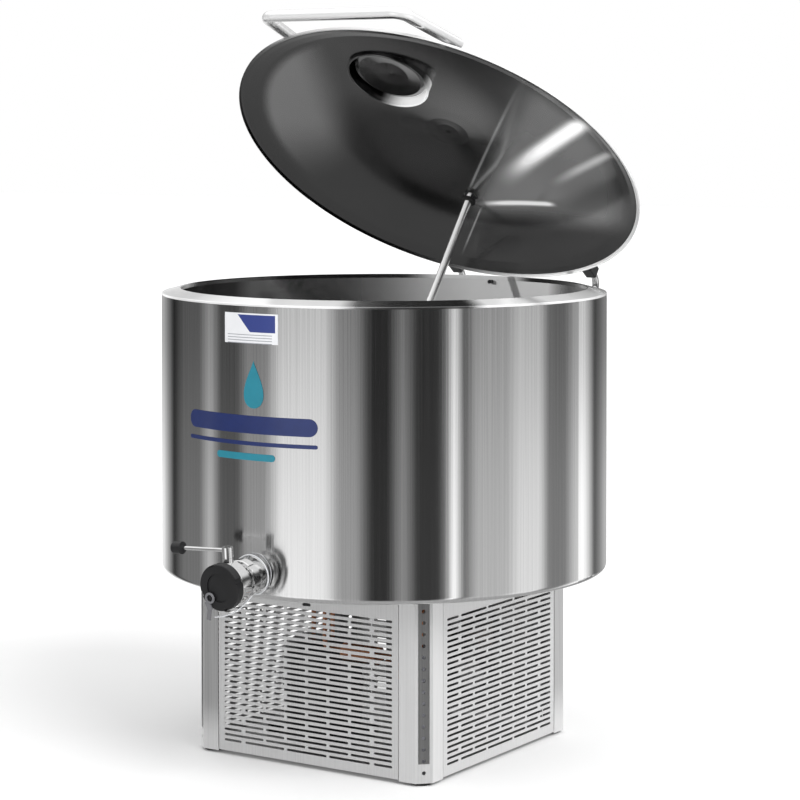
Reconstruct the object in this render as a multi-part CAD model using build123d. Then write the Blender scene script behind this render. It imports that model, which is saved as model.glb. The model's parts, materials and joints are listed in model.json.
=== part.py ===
from build123d import *
import math
import os

# Bulk milk tank: an insulated round vessel on a square base that holds the
# refrigeration unit, with a hinged conical lid that carries the agitator.
# Millimetres. Origin: centre of the footprint on the floor. +Z up, -Y is the
# outlet side, +X is to the right when facing the outlet.

os.makedirs("parts", exist_ok=True)

# Tank shell
TANK_R = 480.0
TANK_BOTTOM = 384.0
RIM_OUTER_Z = 977.0
RIM_INNER_Z = 986.0
VESSEL_R = 439.0
VESSEL_FLOOR_Z = 412.0
VESSEL_T = 2.0
JACKET_T = 1.5
BOTTOM_ROUND = 12.0
EVAPORATOR_R = 380.0

# Lid, hinged behind the tank
LID_REST_ANGLE = 36.7
HINGE_Y = 519.0
HINGE_Z = 802.0
LID_PLANE_Z = 985.0
LIP_OUTER_R = 470.0
LIP_INNER_R = 461.0
CONE_EDGE_R = 455.0
CONE_TOP_R = 50.0
CONE_EDGE_H = 5.5
CONE_TOP_H = 76.0
SHEET_T = 1.5
ARM_X = 182.0
ARM_BOSS_HALF = 10.0
ARM_R = 8.0
SHAFT_R = 10.0
RUNNING_GAP = 0.05
CROSS_BAR_Y = 432.0
CROSS_BAR_Z = 1006.3
BRACKET_X = 208.0
FLANGE_T = 5.0

# Hatch in the lid
HATCH_Y = -262.0
HATCH_R = 90.0
HATCH_BOTTOM_H = 19.5
HATCH_TOP_H = 76.0
PLUG_R = 84.0
PLUG_LOW = -44.0
PLUG_T = 2.0

# Handle on the lid's front edge
HANDLE_HALF = 174.0
HANDLE_Y = -515.0
HANDLE_BEND = 26.0
HANDLE_R = 12.5
HANDLE_FOOT_X = 198.0
HANDLE_FOOT_Y = -330.0
HANDLE_RISE = 62.0

# Agitator on the lid
AGITATOR_X = -35.0
AGITATOR_Y = 215.0
AGITATOR_R = 9.0
AGITATOR_TIP_Z = 505.0
COLLAR_R = 16.0
COLLAR_HEIGHT = 9.0
PADDLE_R = 150.0
GEARBOX_H = 72.0
MOTOR_H = 126.0
MOTOR_TOP_H = 228.0

# Outlet: its axis starts on the wall and falls towards the front
OUTLET_Z = 433.0
OUTLET_FALL = 5.3
PIPE_R = 26.0
PIPE_BORE_R = 24.0
VALVE_R = 45.0
VALVE_AT = 67.0
VALVE_LENGTH = 28.0
BOLT_CIRCLE_R = 39.5
THREAD_R = 36.0
CAP_R = 47.0
CAP_LENGTH = 20.7
SPINDLE_R = 5.0
SPINDLE_AT = VALVE_AT + VALVE_LENGTH / 2
LEVER_UP = 68.0
BOSS_R = 11.0
BOSS_HEIGHT = 8.0

# Base
BASE_HALF = 294.0
CORNER_CHAMFER = 26.0
POST_EDGE = 229.0
BASE_SHEET = 2.0
BASE_FOOT_Z = 6.0
SLOT_ROWS = 27
SLOT_PITCH_Z = 11.4
SLOT_PITCH_X = 107.5
SLOT_LENGTH = 101.0
SLOT_HEIGHT = 5.0
SLOT_FIRST_Z = 32.0
PANEL_GAP = 1.8
FASTENER_Z = 341.0
LEG_HOLES = 15
LEG_HOLE_PITCH = 23.4
LEG_HOLE_R = 4.0
LEG_FIRST_HOLE_Z = 27.0
LEG_TOP = 380.0
WINDOW_LOW = 45.0
WINDOW_HIGH = 378.0
TRAY_Z = 12.0


def turned(points):
    """A solid turned about Z from a closed outline of (radius, height) points."""
    return revolve(make_face(Plane.XZ * Polyline(*points, close=True)), Axis.Z)


def disc(radius, low, high, x=0.0, y=0.0):
    """A cylinder along Z between two heights."""
    return Pos(x, y, (low + high) / 2) * Cylinder(radius, high - low)


def block(low, high):
    """A box between two corners."""
    centre = [(a + b) / 2 for a, b in zip(low, high)]
    size = [b - a for a, b in zip(low, high)]
    return Pos(*centre) * Box(*size)


def bar_x(radius, low, high, y, z):
    """A round bar along X."""
    return Pos((low + high) / 2, y, z) * Rot(0, 90, 0) * Cylinder(radius, high - low)


def bar_y(radius, low, high, x, z):
    """A round bar along Y."""
    return Pos(x, (low + high) / 2, z) * Rot(90, 0, 0) * Cylinder(radius, high - low)


def bent_bar(points, radius, bend, bore=0.0):
    """A round bar or tube along a line of straight runs with rounded corners."""
    path = FilletPolyline(*points, radius=bend)
    section = Circle(radius)
    if bore:
        section = section - Circle(bore)
    return sweep(Plane(path @ 0, z_dir=path % 0) * section, path)


def group(*shapes):
    """Several separate solids kept in one node."""
    return Compound([solid for shape in shapes for solid in shape.solids()])


def hexagon_head(across, height):
    """A hexagonal bolt head standing on Z = 0."""
    return extrude(RegularPolygon(across / 2, 6, major_radius=False), height)


def chamfered_square(half, chamfer):
    """A square outline with its corners cut at 45 degrees."""
    edge = half - chamfer
    points = [(edge, -half), (half, -edge), (half, edge), (edge, half)]
    points += [(-edge, half), (-half, edge), (-half, -edge), (-edge, -half)]
    return make_face(Polyline(*points, close=True))


def opened(shape):
    """A lid part, drawn closed, swung to the angle the lid rests at."""
    swing = Rot(-LID_REST_ANGLE, 0, 0)
    return Pos(0, HINGE_Y, HINGE_Z) * swing * Pos(0, -HINGE_Y, -HINGE_Z) * shape


def cone_height(radius):
    """Height of the lid's inner face above the lip plane at a radius."""
    slope = (CONE_TOP_H - CONE_EDGE_H) / (CONE_EDGE_R - CONE_TOP_R)
    return CONE_EDGE_H + (CONE_EDGE_R - radius) * slope


def at_outlet(shape):
    """A part drawn along +Z from the wall, turned onto the outlet's axis."""
    return Pos(0, -TANK_R + 2, OUTLET_Z) * Rot(90 + OUTLET_FALL, 0, 0) * shape


# ---- Tank shell ----

def outlet_clearance():
    """The straight run through the insulation that the outlet pipe needs."""
    return at_outlet(disc(PIPE_R + 0.3, -60, 60))


def make_outer_jacket():
    inner = TANK_R - JACKET_T
    foot = TANK_R - BOTTOM_ROUND
    wall_low = TANK_BOTTOM + BOTTOM_ROUND
    wall_high = RIM_OUTER_Z - 5.2
    outline = Polyline((inner, wall_low), (inner, wall_high), (TANK_R, wall_high), (TANK_R, wall_low))
    outer_round = ThreePointArc(
        (TANK_R, wall_low),
        (foot + BOTTOM_ROUND * math.cos(math.pi / 4), wall_low - BOTTOM_ROUND * math.sin(math.pi / 4)),
        (foot, TANK_BOTTOM),
    )
    inner_round_r = BOTTOM_ROUND - JACKET_T
    inner_round = ThreePointArc(
        (foot, TANK_BOTTOM + JACKET_T),
        (foot + inner_round_r * math.cos(math.pi / 4), wall_low - inner_round_r * math.sin(math.pi / 4)),
        (inner, wall_low),
    )
    step = Line((foot, TANK_BOTTOM), (foot, TANK_BOTTOM + JACKET_T))
    face = make_face(Plane.XZ * (outline + outer_round + step + inner_round))
    return revolve(face, Axis.Z) - outlet_clearance()


def make_jacket_bottom():
    plate = disc(TANK_R - BOTTOM_ROUND - 0.2, TANK_BOTTOM, TANK_BOTTOM + JACKET_T)
    return plate - disc(12, 300, 500, 60, 150) - disc(12, 300, 500, -60, 150)


def make_inner_vessel():
    outer = disc(VESSEL_R + VESSEL_T, VESSEL_FLOOR_Z - VESSEL_T, RIM_OUTER_Z)
    outer = fillet(outer.edges().group_by(Axis.Z)[0], 27)
    hollow = disc(VESSEL_R, VESSEL_FLOOR_Z, RIM_OUTER_Z + 10)
    hollow = fillet(hollow.edges().group_by(Axis.Z)[0], 25)
    return outer - hollow - outlet_clearance()


def make_rim_ring():
    outer_z = RIM_OUTER_Z - 5
    sheet = [
        (TANK_R, outer_z), (TANK_R, RIM_OUTER_Z - 1.6), (TANK_R - 0.6, RIM_OUTER_Z - 0.6),
        (TANK_R - 1.8, RIM_OUTER_Z), (VESSEL_R + 2.6, RIM_INNER_Z), (VESSEL_R + 0.9, RIM_INNER_Z - 0.3),
        (VESSEL_R, RIM_INNER_Z - 1.8), (VESSEL_R, RIM_OUTER_Z + 0.2),
        (VESSEL_R + VESSEL_T, RIM_OUTER_Z + 0.2), (VESSEL_R + VESSEL_T, RIM_INNER_Z - 3),
        (TANK_R - 1.8, RIM_OUTER_Z - 2), (TANK_R - 1.5, outer_z),
    ]
    return turned(sheet)


def make_insulation():
    outer = disc(TANK_R - JACKET_T - 0.5, TANK_BOTTOM + JACKET_T + 0.3, RIM_OUTER_Z - 8)
    outer = fillet(outer.edges().group_by(Axis.Z)[0], BOTTOM_ROUND - JACKET_T)
    hollow = disc(VESSEL_R + VESSEL_T + 0.5, VESSEL_FLOOR_Z - VESSEL_T - 0.3, RIM_OUTER_Z)
    plate_space = disc(EVAPORATOR_R + 1, TANK_BOTTOM + 13.5, VESSEL_FLOOR_Z)
    stubs = disc(9, 300, 500, 60, 150) + disc(9, 300, 500, -60, 150)
    return outer - hollow - plate_space - outlet_clearance() - stubs


def make_evaporator():
    """Pillow plate under the vessel floor with a spiral of welded channels and two stubs."""
    low = TANK_BOTTOM + 14
    top = VESSEL_FLOOR_Z - VESSEL_T - 0.2
    plate = disc(EVAPORATOR_R, low + 4, top)
    for ring_r in range(60, 360, 50):
        plate += Pos(0, 0, low + 4) * Torus(ring_r, 3.5)
    for x in (60, -60):
        plate += disc(5, 366, low + 5, x, 150)
    return plate


def make_dipstick():
    """Graduated strip that hangs inside the front wall."""
    strip = block((-12, -VESSEL_R + 12, 430), (12, -VESSEL_R + 15, 972))
    peg = bar_y(4, -VESSEL_R + 0.2, -VESSEL_R + 12, 0, 960)
    return Rot(0, 0, -35) * (strip + peg)


def make_temperature_probe():
    return bar_y(4.5, VESSEL_R - 12, VESSEL_R - 0.6, 8, RIM_OUTER_Z - 4)


def make_rating_plate():
    ring = turned([(TANK_R + 0.1, 897), (TANK_R + 0.1, 958), (TANK_R + 0.7, 958), (TANK_R + 0.7, 897)])
    return ring & block((-73, -TANK_R - 5, 890), (60, -TANK_R + 20, 965))


# ---- Hinge on the rear wall ----

def make_hinge_brackets():
    """Curved flanges on the wall, each with a lug that holds the hinge shaft."""
    low, high = HINGE_Z - 50, HINGE_Z + 27
    near, far = TANK_R + 0.2, TANK_R + FLANGE_T
    band = turned([(near, low), (far, low), (far, high), (near, high)])
    brackets = []
    for side in (-1, 1):
        edges = sorted((side * (BRACKET_X - 3), side * (BRACKET_X + 34)))
        flange = band & block((edges[0], 300, low), (edges[1], 500, high))
        lug = block((-3, 420, HINGE_Z - 42), (3, HINGE_Y + 16, HINGE_Z + 20))
        lug = fillet(lug.edges().filter_by(Axis.X).group_by(Axis.Y)[-1], 15)
        bracket = flange + (Pos(side * BRACKET_X, 0, 0) * lug - disc(TANK_R + 0.2, 600, 1100))
        brackets.append(bracket - bar_x(SHAFT_R + RUNNING_GAP, -260, 260, HINGE_Y, HINGE_Z))
    return group(*brackets)


def make_hinge_shaft():
    shaft = bar_x(SHAFT_R, -216, 216, HINGE_Y, HINGE_Z)
    for x in (-219, 216):
        shaft += bar_x(SHAFT_R + 4, x, x + 3, HINGE_Y, HINGE_Z)
    return shaft


def make_hinge_springs():
    """Two torsion springs round the hinge shaft, each with a leg up the wall."""
    springs = []
    wire = 2.0
    coil_r = SHAFT_R + 5
    length = 42
    near_boss = ARM_X - ARM_BOSS_HALF - 6
    for low_x in (-near_boss, near_boss - length):
        coil = Helix(pitch=6, height=length, radius=coil_r)
        body = sweep(Plane(coil @ 0, z_dir=coil % 0) * Circle(wire), coil)
        leg = Pos(coil_r, 0, 0) * Rot(90, 0, 0) * disc(wire, 0, 60)
        turned_coil = Rot(0, 90, 0) * Rot(0, 0, -90) * (body + leg)
        springs.append(Pos(low_x, HINGE_Y, HINGE_Z) * turned_coil)
    return group(*springs)


def make_bracket_bolts():
    bolts = []
    for side in (-1, 1):
        angle = math.degrees(math.asin(side * (BRACKET_X + 19) / TANK_R))
        for z in (HINGE_Z - 36, HINGE_Z + 13):
            head = Pos(0, TANK_R + FLANGE_T + 0.1, z) * Rot(-90, 0, 0) * hexagon_head(13, 5.5)
            bolts.append(Rot(0, 0, -angle) * head)
    return group(*bolts)


# ---- Lid ----

def lid_outline(offset):
    """Cone profile from the axis to the lip, raised by an offset."""
    return [
        (0, CONE_TOP_H + 2 + offset), (CONE_TOP_R / 2, CONE_TOP_H + 1.4 + offset),
        (CONE_TOP_R, CONE_TOP_H - 0.6 + offset), (CONE_TOP_R * 2, cone_height(CONE_TOP_R * 2) + offset),
        (CONE_EDGE_R - 25, cone_height(CONE_EDGE_R - 25) + offset),
        (CONE_EDGE_R - 6, CONE_EDGE_H - 1.2 + offset), (LIP_INNER_R, offset),
    ]


def lid_solid(offset):
    """Everything under the lid's cone, used to fit parts to its surface."""
    points = lid_outline(offset) + [(LIP_OUTER_R, offset), (LIP_OUTER_R, -60), (0, -60)]
    return Pos(0, 0, LID_PLANE_Z) * turned(points)


def make_lid_shell():
    lip_inside = LIP_OUTER_R - SHEET_T
    lip = [(LIP_OUTER_R, SHEET_T), (LIP_OUTER_R, -4), (lip_inside, -4), (lip_inside, 0)]
    points = lid_outline(SHEET_T) + lip + lid_outline(0)[::-1]
    shell = Pos(0, 0, LID_PLANE_Z) * turned(points)
    shell -= disc(HATCH_R + 2.2, 900, 1200, 0, HATCH_Y)
    return shell - disc(16, 900, 1200, AGITATOR_X, AGITATOR_Y)


def make_hatch_collar():
    low = LID_PLANE_Z + HATCH_BOTTOM_H
    top = LID_PLANE_Z + HATCH_TOP_H
    collar = disc(HATCH_R + 2, low, top, 0, HATCH_Y) - disc(HATCH_R, 900, 1200, 0, HATCH_Y)
    return collar + Pos(0, HATCH_Y, low) * Torus(HATCH_R + 1, 2.5)


def make_hatch_seal():
    top = LID_PLANE_Z + HATCH_TOP_H
    return disc(HATCH_R + 3, top + 0.1, top + 2.4, 0, HATCH_Y) - disc(HATCH_R - 3, 900, 1200, 0, HATCH_Y)


def make_hatch_cover():
    """Domed cover with a skirt outside the collar, a dished plug inside it and a knob on top."""
    inside = PLUG_R - PLUG_T
    floor = PLUG_LOW + PLUG_T
    dome = [(0, 22), (30, 20.6), (60, 16), (82, 10), (94, 4.6), (98, 1), (98, -14), (96.5, -14)]
    under = [(96.5, 0.5), (93.5, 3.2), (81.5, 8.6), (59.6, 14.6), (29.8, 19.2), (0, 20.5)]
    knob = [(0, 21), (7, 21), (7, 32), (18, 36), (20, 42), (16, 48), (0, 50)]
    plug = [(PLUG_R, 9), (PLUG_R, PLUG_LOW + 12), (PLUG_R - 4, PLUG_LOW + 3), (PLUG_R - 13, PLUG_LOW)]
    plug += [(40, PLUG_LOW + 6), (0, PLUG_LOW + 9), (0, floor + 9), (39, floor + 6)]
    plug += [(inside - 12, floor), (inside - 4, floor + 3), (inside, floor + 11), (inside, 9)]
    cover = turned(dome + under) + turned(knob) + turned(plug)
    return Pos(0, HATCH_Y, LID_PLANE_Z + HATCH_TOP_H) * cover


def make_lid_handle():
    foot_z = LID_PLANE_Z + HANDLE_RISE
    points = [
        (-HANDLE_FOOT_X, HANDLE_FOOT_Y, foot_z), (-HANDLE_HALF, HANDLE_Y, LID_PLANE_Z),
        (HANDLE_HALF, HANDLE_Y, LID_PLANE_Z), (HANDLE_FOOT_X, HANDLE_FOOT_Y, foot_z),
    ]
    return bent_bar(points, HANDLE_R, HANDLE_BEND, HANDLE_R - 1.5)


def make_handle_feet():
    """A round plate welded on the cone under each end of the handle, with a stub up to the tube."""
    back = HANDLE_FOOT_Y - HANDLE_Y
    inward = HANDLE_FOOT_X - HANDLE_HALF
    run = math.hypot(inward, back, HANDLE_RISE)
    stub_y = HANDLE_FOOT_Y - 7
    feet = []
    for side in (-1, 1):
        stub_x = side * (HANDLE_FOOT_X - 1)
        foot = disc(9, LID_PLANE_Z, LID_PLANE_Z + 52, stub_x, stub_y)
        foot += disc(22, LID_PLANE_Z, LID_PLANE_Z + 24, stub_x, stub_y)
        foot -= lid_solid(SHEET_T + 0.05)
        direction = (side * inward / run, back / run, HANDLE_RISE / run)
        corner = Plane((side * HANDLE_HALF, HANDLE_Y, LID_PLANE_Z), z_dir=direction)
        feet.append((foot - corner * Cylinder(HANDLE_R + 0.1, 2 * run)).solids().sort_by(Axis.Z)[0])
    return group(*feet)


def arm_path(side):
    x = side * ARM_X
    return [(x, 330, 1016), (x, 430, 1006.5), (x, 506, 1000), (x, HINGE_Y, HINGE_Z + 14)]


def make_lid_arms():
    """Bent arms, each with a pad welded on the cone and a boss that turns on the hinge shaft."""
    arms = []
    for side in (-1, 1):
        arm = bent_bar(arm_path(side), ARM_R, 26)
        low = side * ARM_X - ARM_BOSS_HALF
        high = side * ARM_X + ARM_BOSS_HALF
        boss = bar_x(17, low, high, HINGE_Y, HINGE_Z)
        pad = block((side * ARM_X - 20, 334, 990), (side * ARM_X + 20, 384, 1016))
        arm += boss + fillet(pad.edges().filter_by(Axis.Z), 6)
        arm -= bar_x(SHAFT_R + RUNNING_GAP, low - 5, high + 5, HINGE_Y, HINGE_Z)
        arms.append(arm - lid_solid(SHEET_T + 0.05))
    return group(*arms)


def make_arm_clamps():
    clamps = []
    for side in (-1, 1):
        clamp = block((side * ARM_X - 13, 446, 990), (side * ARM_X + 13, 474, 1018))
        clamp = fillet(clamp.edges().filter_by(Axis.Y), 3)
        clamps.append(clamp - bent_bar(arm_path(side), ARM_R + 0.05, 26))
    return group(*clamps)


def make_lid_cross_bar():
    inner = ARM_X - ARM_R - 0.2
    return bar_x(5, -inner, inner, CROSS_BAR_Y, CROSS_BAR_Z)


# ---- Agitator drive ----

def at_drive(shape):
    return Pos(AGITATOR_X, AGITATOR_Y, LID_PLANE_Z) * shape


def make_motor_flange():
    flange = disc(62, 20, GEARBOX_H) - disc(15, 0, 200)
    return at_drive(flange) - lid_solid(SHEET_T + 0.05)


def make_shaft_bearing():
    outer_low = GEARBOX_H - 14
    ring = disc(14.9, outer_low, GEARBOX_H) - disc(AGITATOR_R + RUNNING_GAP, 0, 200)
    return at_drive(ring)


def make_gearbox():
    low = GEARBOX_H + 0.1
    case = block((-48, -48, low), (48, 48, MOTOR_H))
    case = fillet(case.edges().filter_by(Axis.Z), 14)
    case = chamfer(case.edges().group_by(Axis.Z)[-1], 4)
    return at_drive(case - disc(AGITATOR_R + 0.5, 0, MOTOR_H - 12))


def make_agitator_motor():
    low = MOTOR_H + 0.1
    body = disc(50, low, MOTOR_TOP_H - 22)
    for index in range(24):
        fin = block((48, -1.2, low + 8), (57, 1.2, MOTOR_TOP_H - 26))
        body += Rot(0, 0, index * 15) * fin
    cowl = disc(58, MOTOR_TOP_H - 22, MOTOR_TOP_H)
    cowl = fillet(cowl.edges().group_by(Axis.Z)[-1], 8)
    for index in range(12):
        vent = block((16, -2.2, MOTOR_TOP_H - 1.5), (46, 2.2, MOTOR_TOP_H + 1))
        cowl -= Rot(0, 0, index * 30) * vent
    terminals = block((-32, 49, MOTOR_H + 18), (32, 86, MOTOR_H + 68))
    terminals = fillet(terminals.edges().filter_by(Axis.Y), 6)
    return at_drive(body + cowl + terminals)


def make_agitator_shaft():
    top = LID_PLANE_Z + MOTOR_H - 14
    return disc(AGITATOR_R, AGITATOR_TIP_Z, top, AGITATOR_X, AGITATOR_Y)


def make_shaft_collar():
    """Black slinger ring on the shaft just under the lid."""
    top = LID_PLANE_Z + cone_height(math.hypot(AGITATOR_X, AGITATOR_Y)) - 6
    ring = disc(COLLAR_R, top - COLLAR_HEIGHT, top, AGITATOR_X, AGITATOR_Y)
    ring = fillet(ring.edges().filter_by(GeomType.CIRCLE), 2)
    return ring - disc(AGITATOR_R, 900, 1100, AGITATOR_X, AGITATOR_Y)


def make_agitator_paddle():
    """Hub with two pitched blades at the foot of the shaft."""
    low = AGITATOR_TIP_Z + 6
    hub = disc(17, low, low + 60)
    for turn in (0, 180):
        blade = Pos(PADDLE_R / 2 + 5, 0, low + 30) * Rot(25, 0, 0) * Box(PADDLE_R - 10, 3, 56)
        hub += Rot(0, 0, turn) * blade
    hub -= disc(AGITATOR_R, low - 10, low + 90)
    return Pos(AGITATOR_X, AGITATOR_Y, 0) * hub


# ---- Outlet ----

def make_outlet_pipe():
    """Pipe through the insulation with a collar welded to the wall."""
    pipe = at_outlet(disc(PIPE_R, -45, 47))
    collar = at_outlet(disc(37.5, -12, 8)) - disc(TANK_R + 0.1, 300, 600)
    bore = at_outlet(disc(PIPE_BORE_R, -90, 60))
    return pipe + collar - bore - disc(VESSEL_R + 0.2, 300, 1000)


def make_union_nut():
    nut = disc(39, 26, 46) - disc(PIPE_R + 0.2, 0, 60)
    nut = chamfer(nut.edges().filter_by(GeomType.CIRCLE).group_by(SortBy.RADIUS)[-1], 2)
    for index in range(4):
        notch = Pos(40, 0, 36) * Box(9, 10, 30)
        nut -= Rot(0, 0, 45 + index * 90) * notch
    return at_outlet(nut)


def valve_bore():
    return disc(PIPE_BORE_R - 1, 40, 130)


def make_valve_body():
    low = VALVE_AT
    top = VALVE_AT + VALVE_LENGTH
    body = disc(VALVE_R, low, top)
    body = fillet(body.edges().filter_by(GeomType.CIRCLE), 2.5)
    body += disc(30, 47.2, low + 1)
    body += disc(THREAD_R, top - 1, top + 12)
    body += Pos(0, VALVE_R, SPINDLE_AT) * Rot(90, 0, 0) * Cylinder(BOSS_R, 2 * BOSS_HEIGHT)
    body -= valve_bore()
    body -= disc(PIPE_BORE_R + 3, SPINDLE_AT - 8, SPINDLE_AT + 8)
    body -= Pos(0, 40, SPINDLE_AT) * Rot(90, 0, 0) * Cylinder(SPINDLE_R + RUNNING_GAP, 80)
    for index in range(4):
        body -= Rot(0, 0, 45 + index * 90) * disc(2.5, low - 5, top + 5, BOLT_CIRCLE_R, 0)
    return at_outlet(body)


def make_valve_bolts():
    bolts = []
    for index in range(4):
        bolt = disc(2.4, VALVE_AT - 3, VALVE_AT + VALVE_LENGTH - 0.5, BOLT_CIRCLE_R, 0)
        bolt += Pos(BOLT_CIRCLE_R, 0, VALVE_AT - 5.2) * hexagon_head(8, 5)
        bolts.append(at_outlet(Rot(0, 0, 45 + index * 90) * bolt))
    return group(*bolts)


def make_valve_seat():
    seat = disc(PIPE_BORE_R + 2.9, SPINDLE_AT - 7.8, SPINDLE_AT + 7.8) - valve_bore()
    seat -= Pos(0, 40, SPINDLE_AT) * Rot(90, 0, 0) * Cylinder(SPINDLE_R + RUNNING_GAP, 80)
    return at_outlet(seat)


def make_valve_disc():
    """Disc and its spindle, turning about the spindle."""
    ball = Pos(0, 0, SPINDLE_AT) * Sphere(PIPE_BORE_R - 1.05)
    plate = disc(PIPE_BORE_R, SPINDLE_AT - 3, SPINDLE_AT + 3) & ball
    stem = Pos(0, 0, SPINDLE_AT) * Rot(-90, 0, 0) * disc(SPINDLE_R, 0, LEVER_UP + 4)
    return at_outlet(plate + stem)


def lever_rod(radius):
    """The lever's rod, which drops slightly towards its knob."""
    return Pos(-62, LEVER_UP - 3, SPINDLE_AT) * Rot(0, 0, 3) * Rot(0, 90, 0) * Cylinder(radius, 112)


def make_valve_lever():
    """Tall hub on the spindle with a rod across the outlet."""
    low = VALVE_R + BOSS_HEIGHT + 0.3
    high = LEVER_UP + 7
    hub = Pos(0, (low + high) / 2, SPINDLE_AT) * Rot(90, 0, 0) * Cylinder(BOSS_R, high - low)
    stem = Pos(0, LEVER_UP, SPINDLE_AT) * Rot(90, 0, 0) * Cylinder(SPINDLE_R, 40)
    return at_outlet(hub + lever_rod(4) - stem)


def make_lever_knob():
    knob = fillet(Cylinder(12, 25).edges().filter_by(GeomType.CIRCLE), 4)
    collar = Pos(0, 0, 10) * Cylinder(12.8, 4)
    knob += fillet(collar.edges().filter_by(GeomType.CIRCLE), 1)
    placed = Pos(-124, LEVER_UP - 6.3, SPINDLE_AT) * Rot(0, 0, 3) * Rot(0, 90, 0) * knob
    return at_outlet(placed - lever_rod(4.05))


def make_outlet_cap():
    """Slotted blank nut over the outlet's thread."""
    low = VALVE_AT + VALVE_LENGTH + 0.3
    cap = disc(CAP_R, low, low + CAP_LENGTH)
    cap = fillet(cap.edges().filter_by(GeomType.CIRCLE), 2.5)
    cap -= disc(THREAD_R + 0.3, low - 5, low + 13)
    cap -= disc(29, low + CAP_LENGTH - 3, low + CAP_LENGTH + 5)
    for index in range(4):
        notch = Pos(CAP_R, 0, low + CAP_LENGTH / 2) * Box(8, 11, CAP_LENGTH + 10)
        cap -= Rot(0, 0, 20 + index * 90) * notch
    return at_outlet(cap)


def make_cap_strap():
    """Ring on the cap's face and a short retaining strap under it."""
    face = VALVE_AT + VALVE_LENGTH + 0.3 + CAP_LENGTH
    ring = Pos(-22, -22, face + 2.6) * Torus(9, 2.5)
    strap = Pos(-26, -38, face + 1.8) * Rot(0, 0, 20) * Box(12, 18, 3)
    tail = Pos(-27, -55, face + 0.5) * Rot(0, 0, -10) * Box(9, 24, 3)
    return at_outlet(ring + strap + tail)


# ---- Base ----

def around(shape):
    """Four copies of a part, one on each side of the base."""
    return [Rot(0, 0, 90 * index) * shape for index in range(4)]


def chamfer_plane_part(shape):
    """A part drawn facing -Y at the origin, moved onto the corner chamfer."""
    middle = BASE_HALF - CORNER_CHAMFER / 2
    return Pos(middle, -middle, 0) * Rot(0, 0, 45) * shape


def make_corner_posts():
    edge = BASE_HALF - CORNER_CHAMFER
    inner = BASE_HALF - BASE_SHEET
    tuck = edge - BASE_SHEET * math.tan(math.radians(22.5))
    points = [(POST_EDGE, -BASE_HALF), (edge, -BASE_HALF), (BASE_HALF, -edge), (BASE_HALF, -POST_EDGE)]
    points += [(inner, -POST_EDGE), (inner, -tuck), (tuck, -inner), (POST_EDGE, -inner)]
    post = extrude(make_face(Polyline(*points, close=True)), TANK_BOTTOM - 0.4 - BASE_FOOT_Z)
    post = Pos(0, 0, BASE_FOOT_Z) * post
    post -= chamfer_plane_part(block((-12, -10, WINDOW_LOW), (12, 10, WINDOW_HIGH)))
    post -= chamfer_plane_part(bar_y(LEG_HOLE_R, -20, 20, 0, LEG_FIRST_HOLE_Z))
    return group(*around(post))


def make_leg_channels():
    """Perforated strips that slide in the corner posts to set the height."""
    strip = block((-16, BASE_SHEET + 0.2, BASE_FOOT_Z), (16, BASE_SHEET + 3.2, LEG_TOP))
    for index in range(LEG_HOLES):
        strip -= bar_y(LEG_HOLE_R, -20, 20, 0, LEG_FIRST_HOLE_Z + index * LEG_HOLE_PITCH)
    return group(*around(chamfer_plane_part(strip)))


def make_foot_pads():
    pads = []
    for x in (-1, 1):
        for y in (-1, 1):
            pad = disc(23, 0, BASE_FOOT_Z - 0.2, x * 262, y * 262)
            pads.append(chamfer(pad.edges().group_by(Axis.Z)[0], 1.5))
    return group(*pads)


def make_side_panels():
    """Four side panels with staggered rows of slots."""
    width = 2 * (POST_EDGE - PANEL_GAP)
    low, high = BASE_FOOT_Z + 3, TANK_BOTTOM - 1
    sheet = Pos(0, (low + high) / 2) * Rectangle(width, high - low)
    slots = []
    for row in range(SLOT_ROWS):
        z = SLOT_FIRST_Z + row * SLOT_PITCH_Z
        if row % 2:
            places = [(-1.5 + n) * SLOT_PITCH_X for n in range(4)]
            ends = []
        else:
            places = [(-1 + n) * SLOT_PITCH_X for n in range(3)]
            ends = [-1.75 * SLOT_PITCH_X - 2, 1.75 * SLOT_PITCH_X + 2]
        slots += [Pos(x, z) * SlotOverall(SLOT_LENGTH, SLOT_HEIGHT) for x in places]
        slots += [Pos(x, z) * SlotOverall(SLOT_LENGTH / 2 - 6, SLOT_HEIGHT) for x in ends]
    slots.append(Pos(0, FASTENER_Z) * SlotOverall(21, 7))
    face = Plane.XZ * (sheet - slots)
    panel = Pos(0, -BASE_HALF + 0.5, 0) * extrude(face, -1.5)
    return group(*around(panel))


def make_panel_screws():
    """Quarter-turn fasteners in the panels' top margins."""
    head = Pos(0, FASTENER_Z) * SlotOverall(20, 6)
    stud = Pos(0, -BASE_HALF + 1.2, 0) * extrude(Plane.XZ * head, -6)
    return group(*around(stud))


def make_base_top_frame():
    half = BASE_HALF - BASE_SHEET - 1.5
    ring = chamfered_square(half, CORNER_CHAMFER + 4) - chamfered_square(half - 26, CORNER_CHAMFER)
    return Pos(0, 0, TANK_BOTTOM - 16) * extrude(ring, 15.8)


def make_base_tray():
    half = BASE_HALF - BASE_SHEET - 1.5
    tray = Pos(0, 0, TRAY_Z) * extrude(chamfered_square(half, CORNER_CHAMFER + 4), 3)
    for x in (-1, 1):
        for y in (-1, 1):
            tray += disc(10, BASE_FOOT_Z, TRAY_Z + 1, x * 262, y * 262)
    return tray


# ---- Refrigeration unit in the base ----

COMPRESSOR_X = -120.0
COMPRESSOR_Y = -60.0
TRAY_TOP = TRAY_Z + 3
FAN_X = 60.0
FAN_Z = 180.0
FAN_R = 110.0
SHROUD_Y = 205.0


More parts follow.
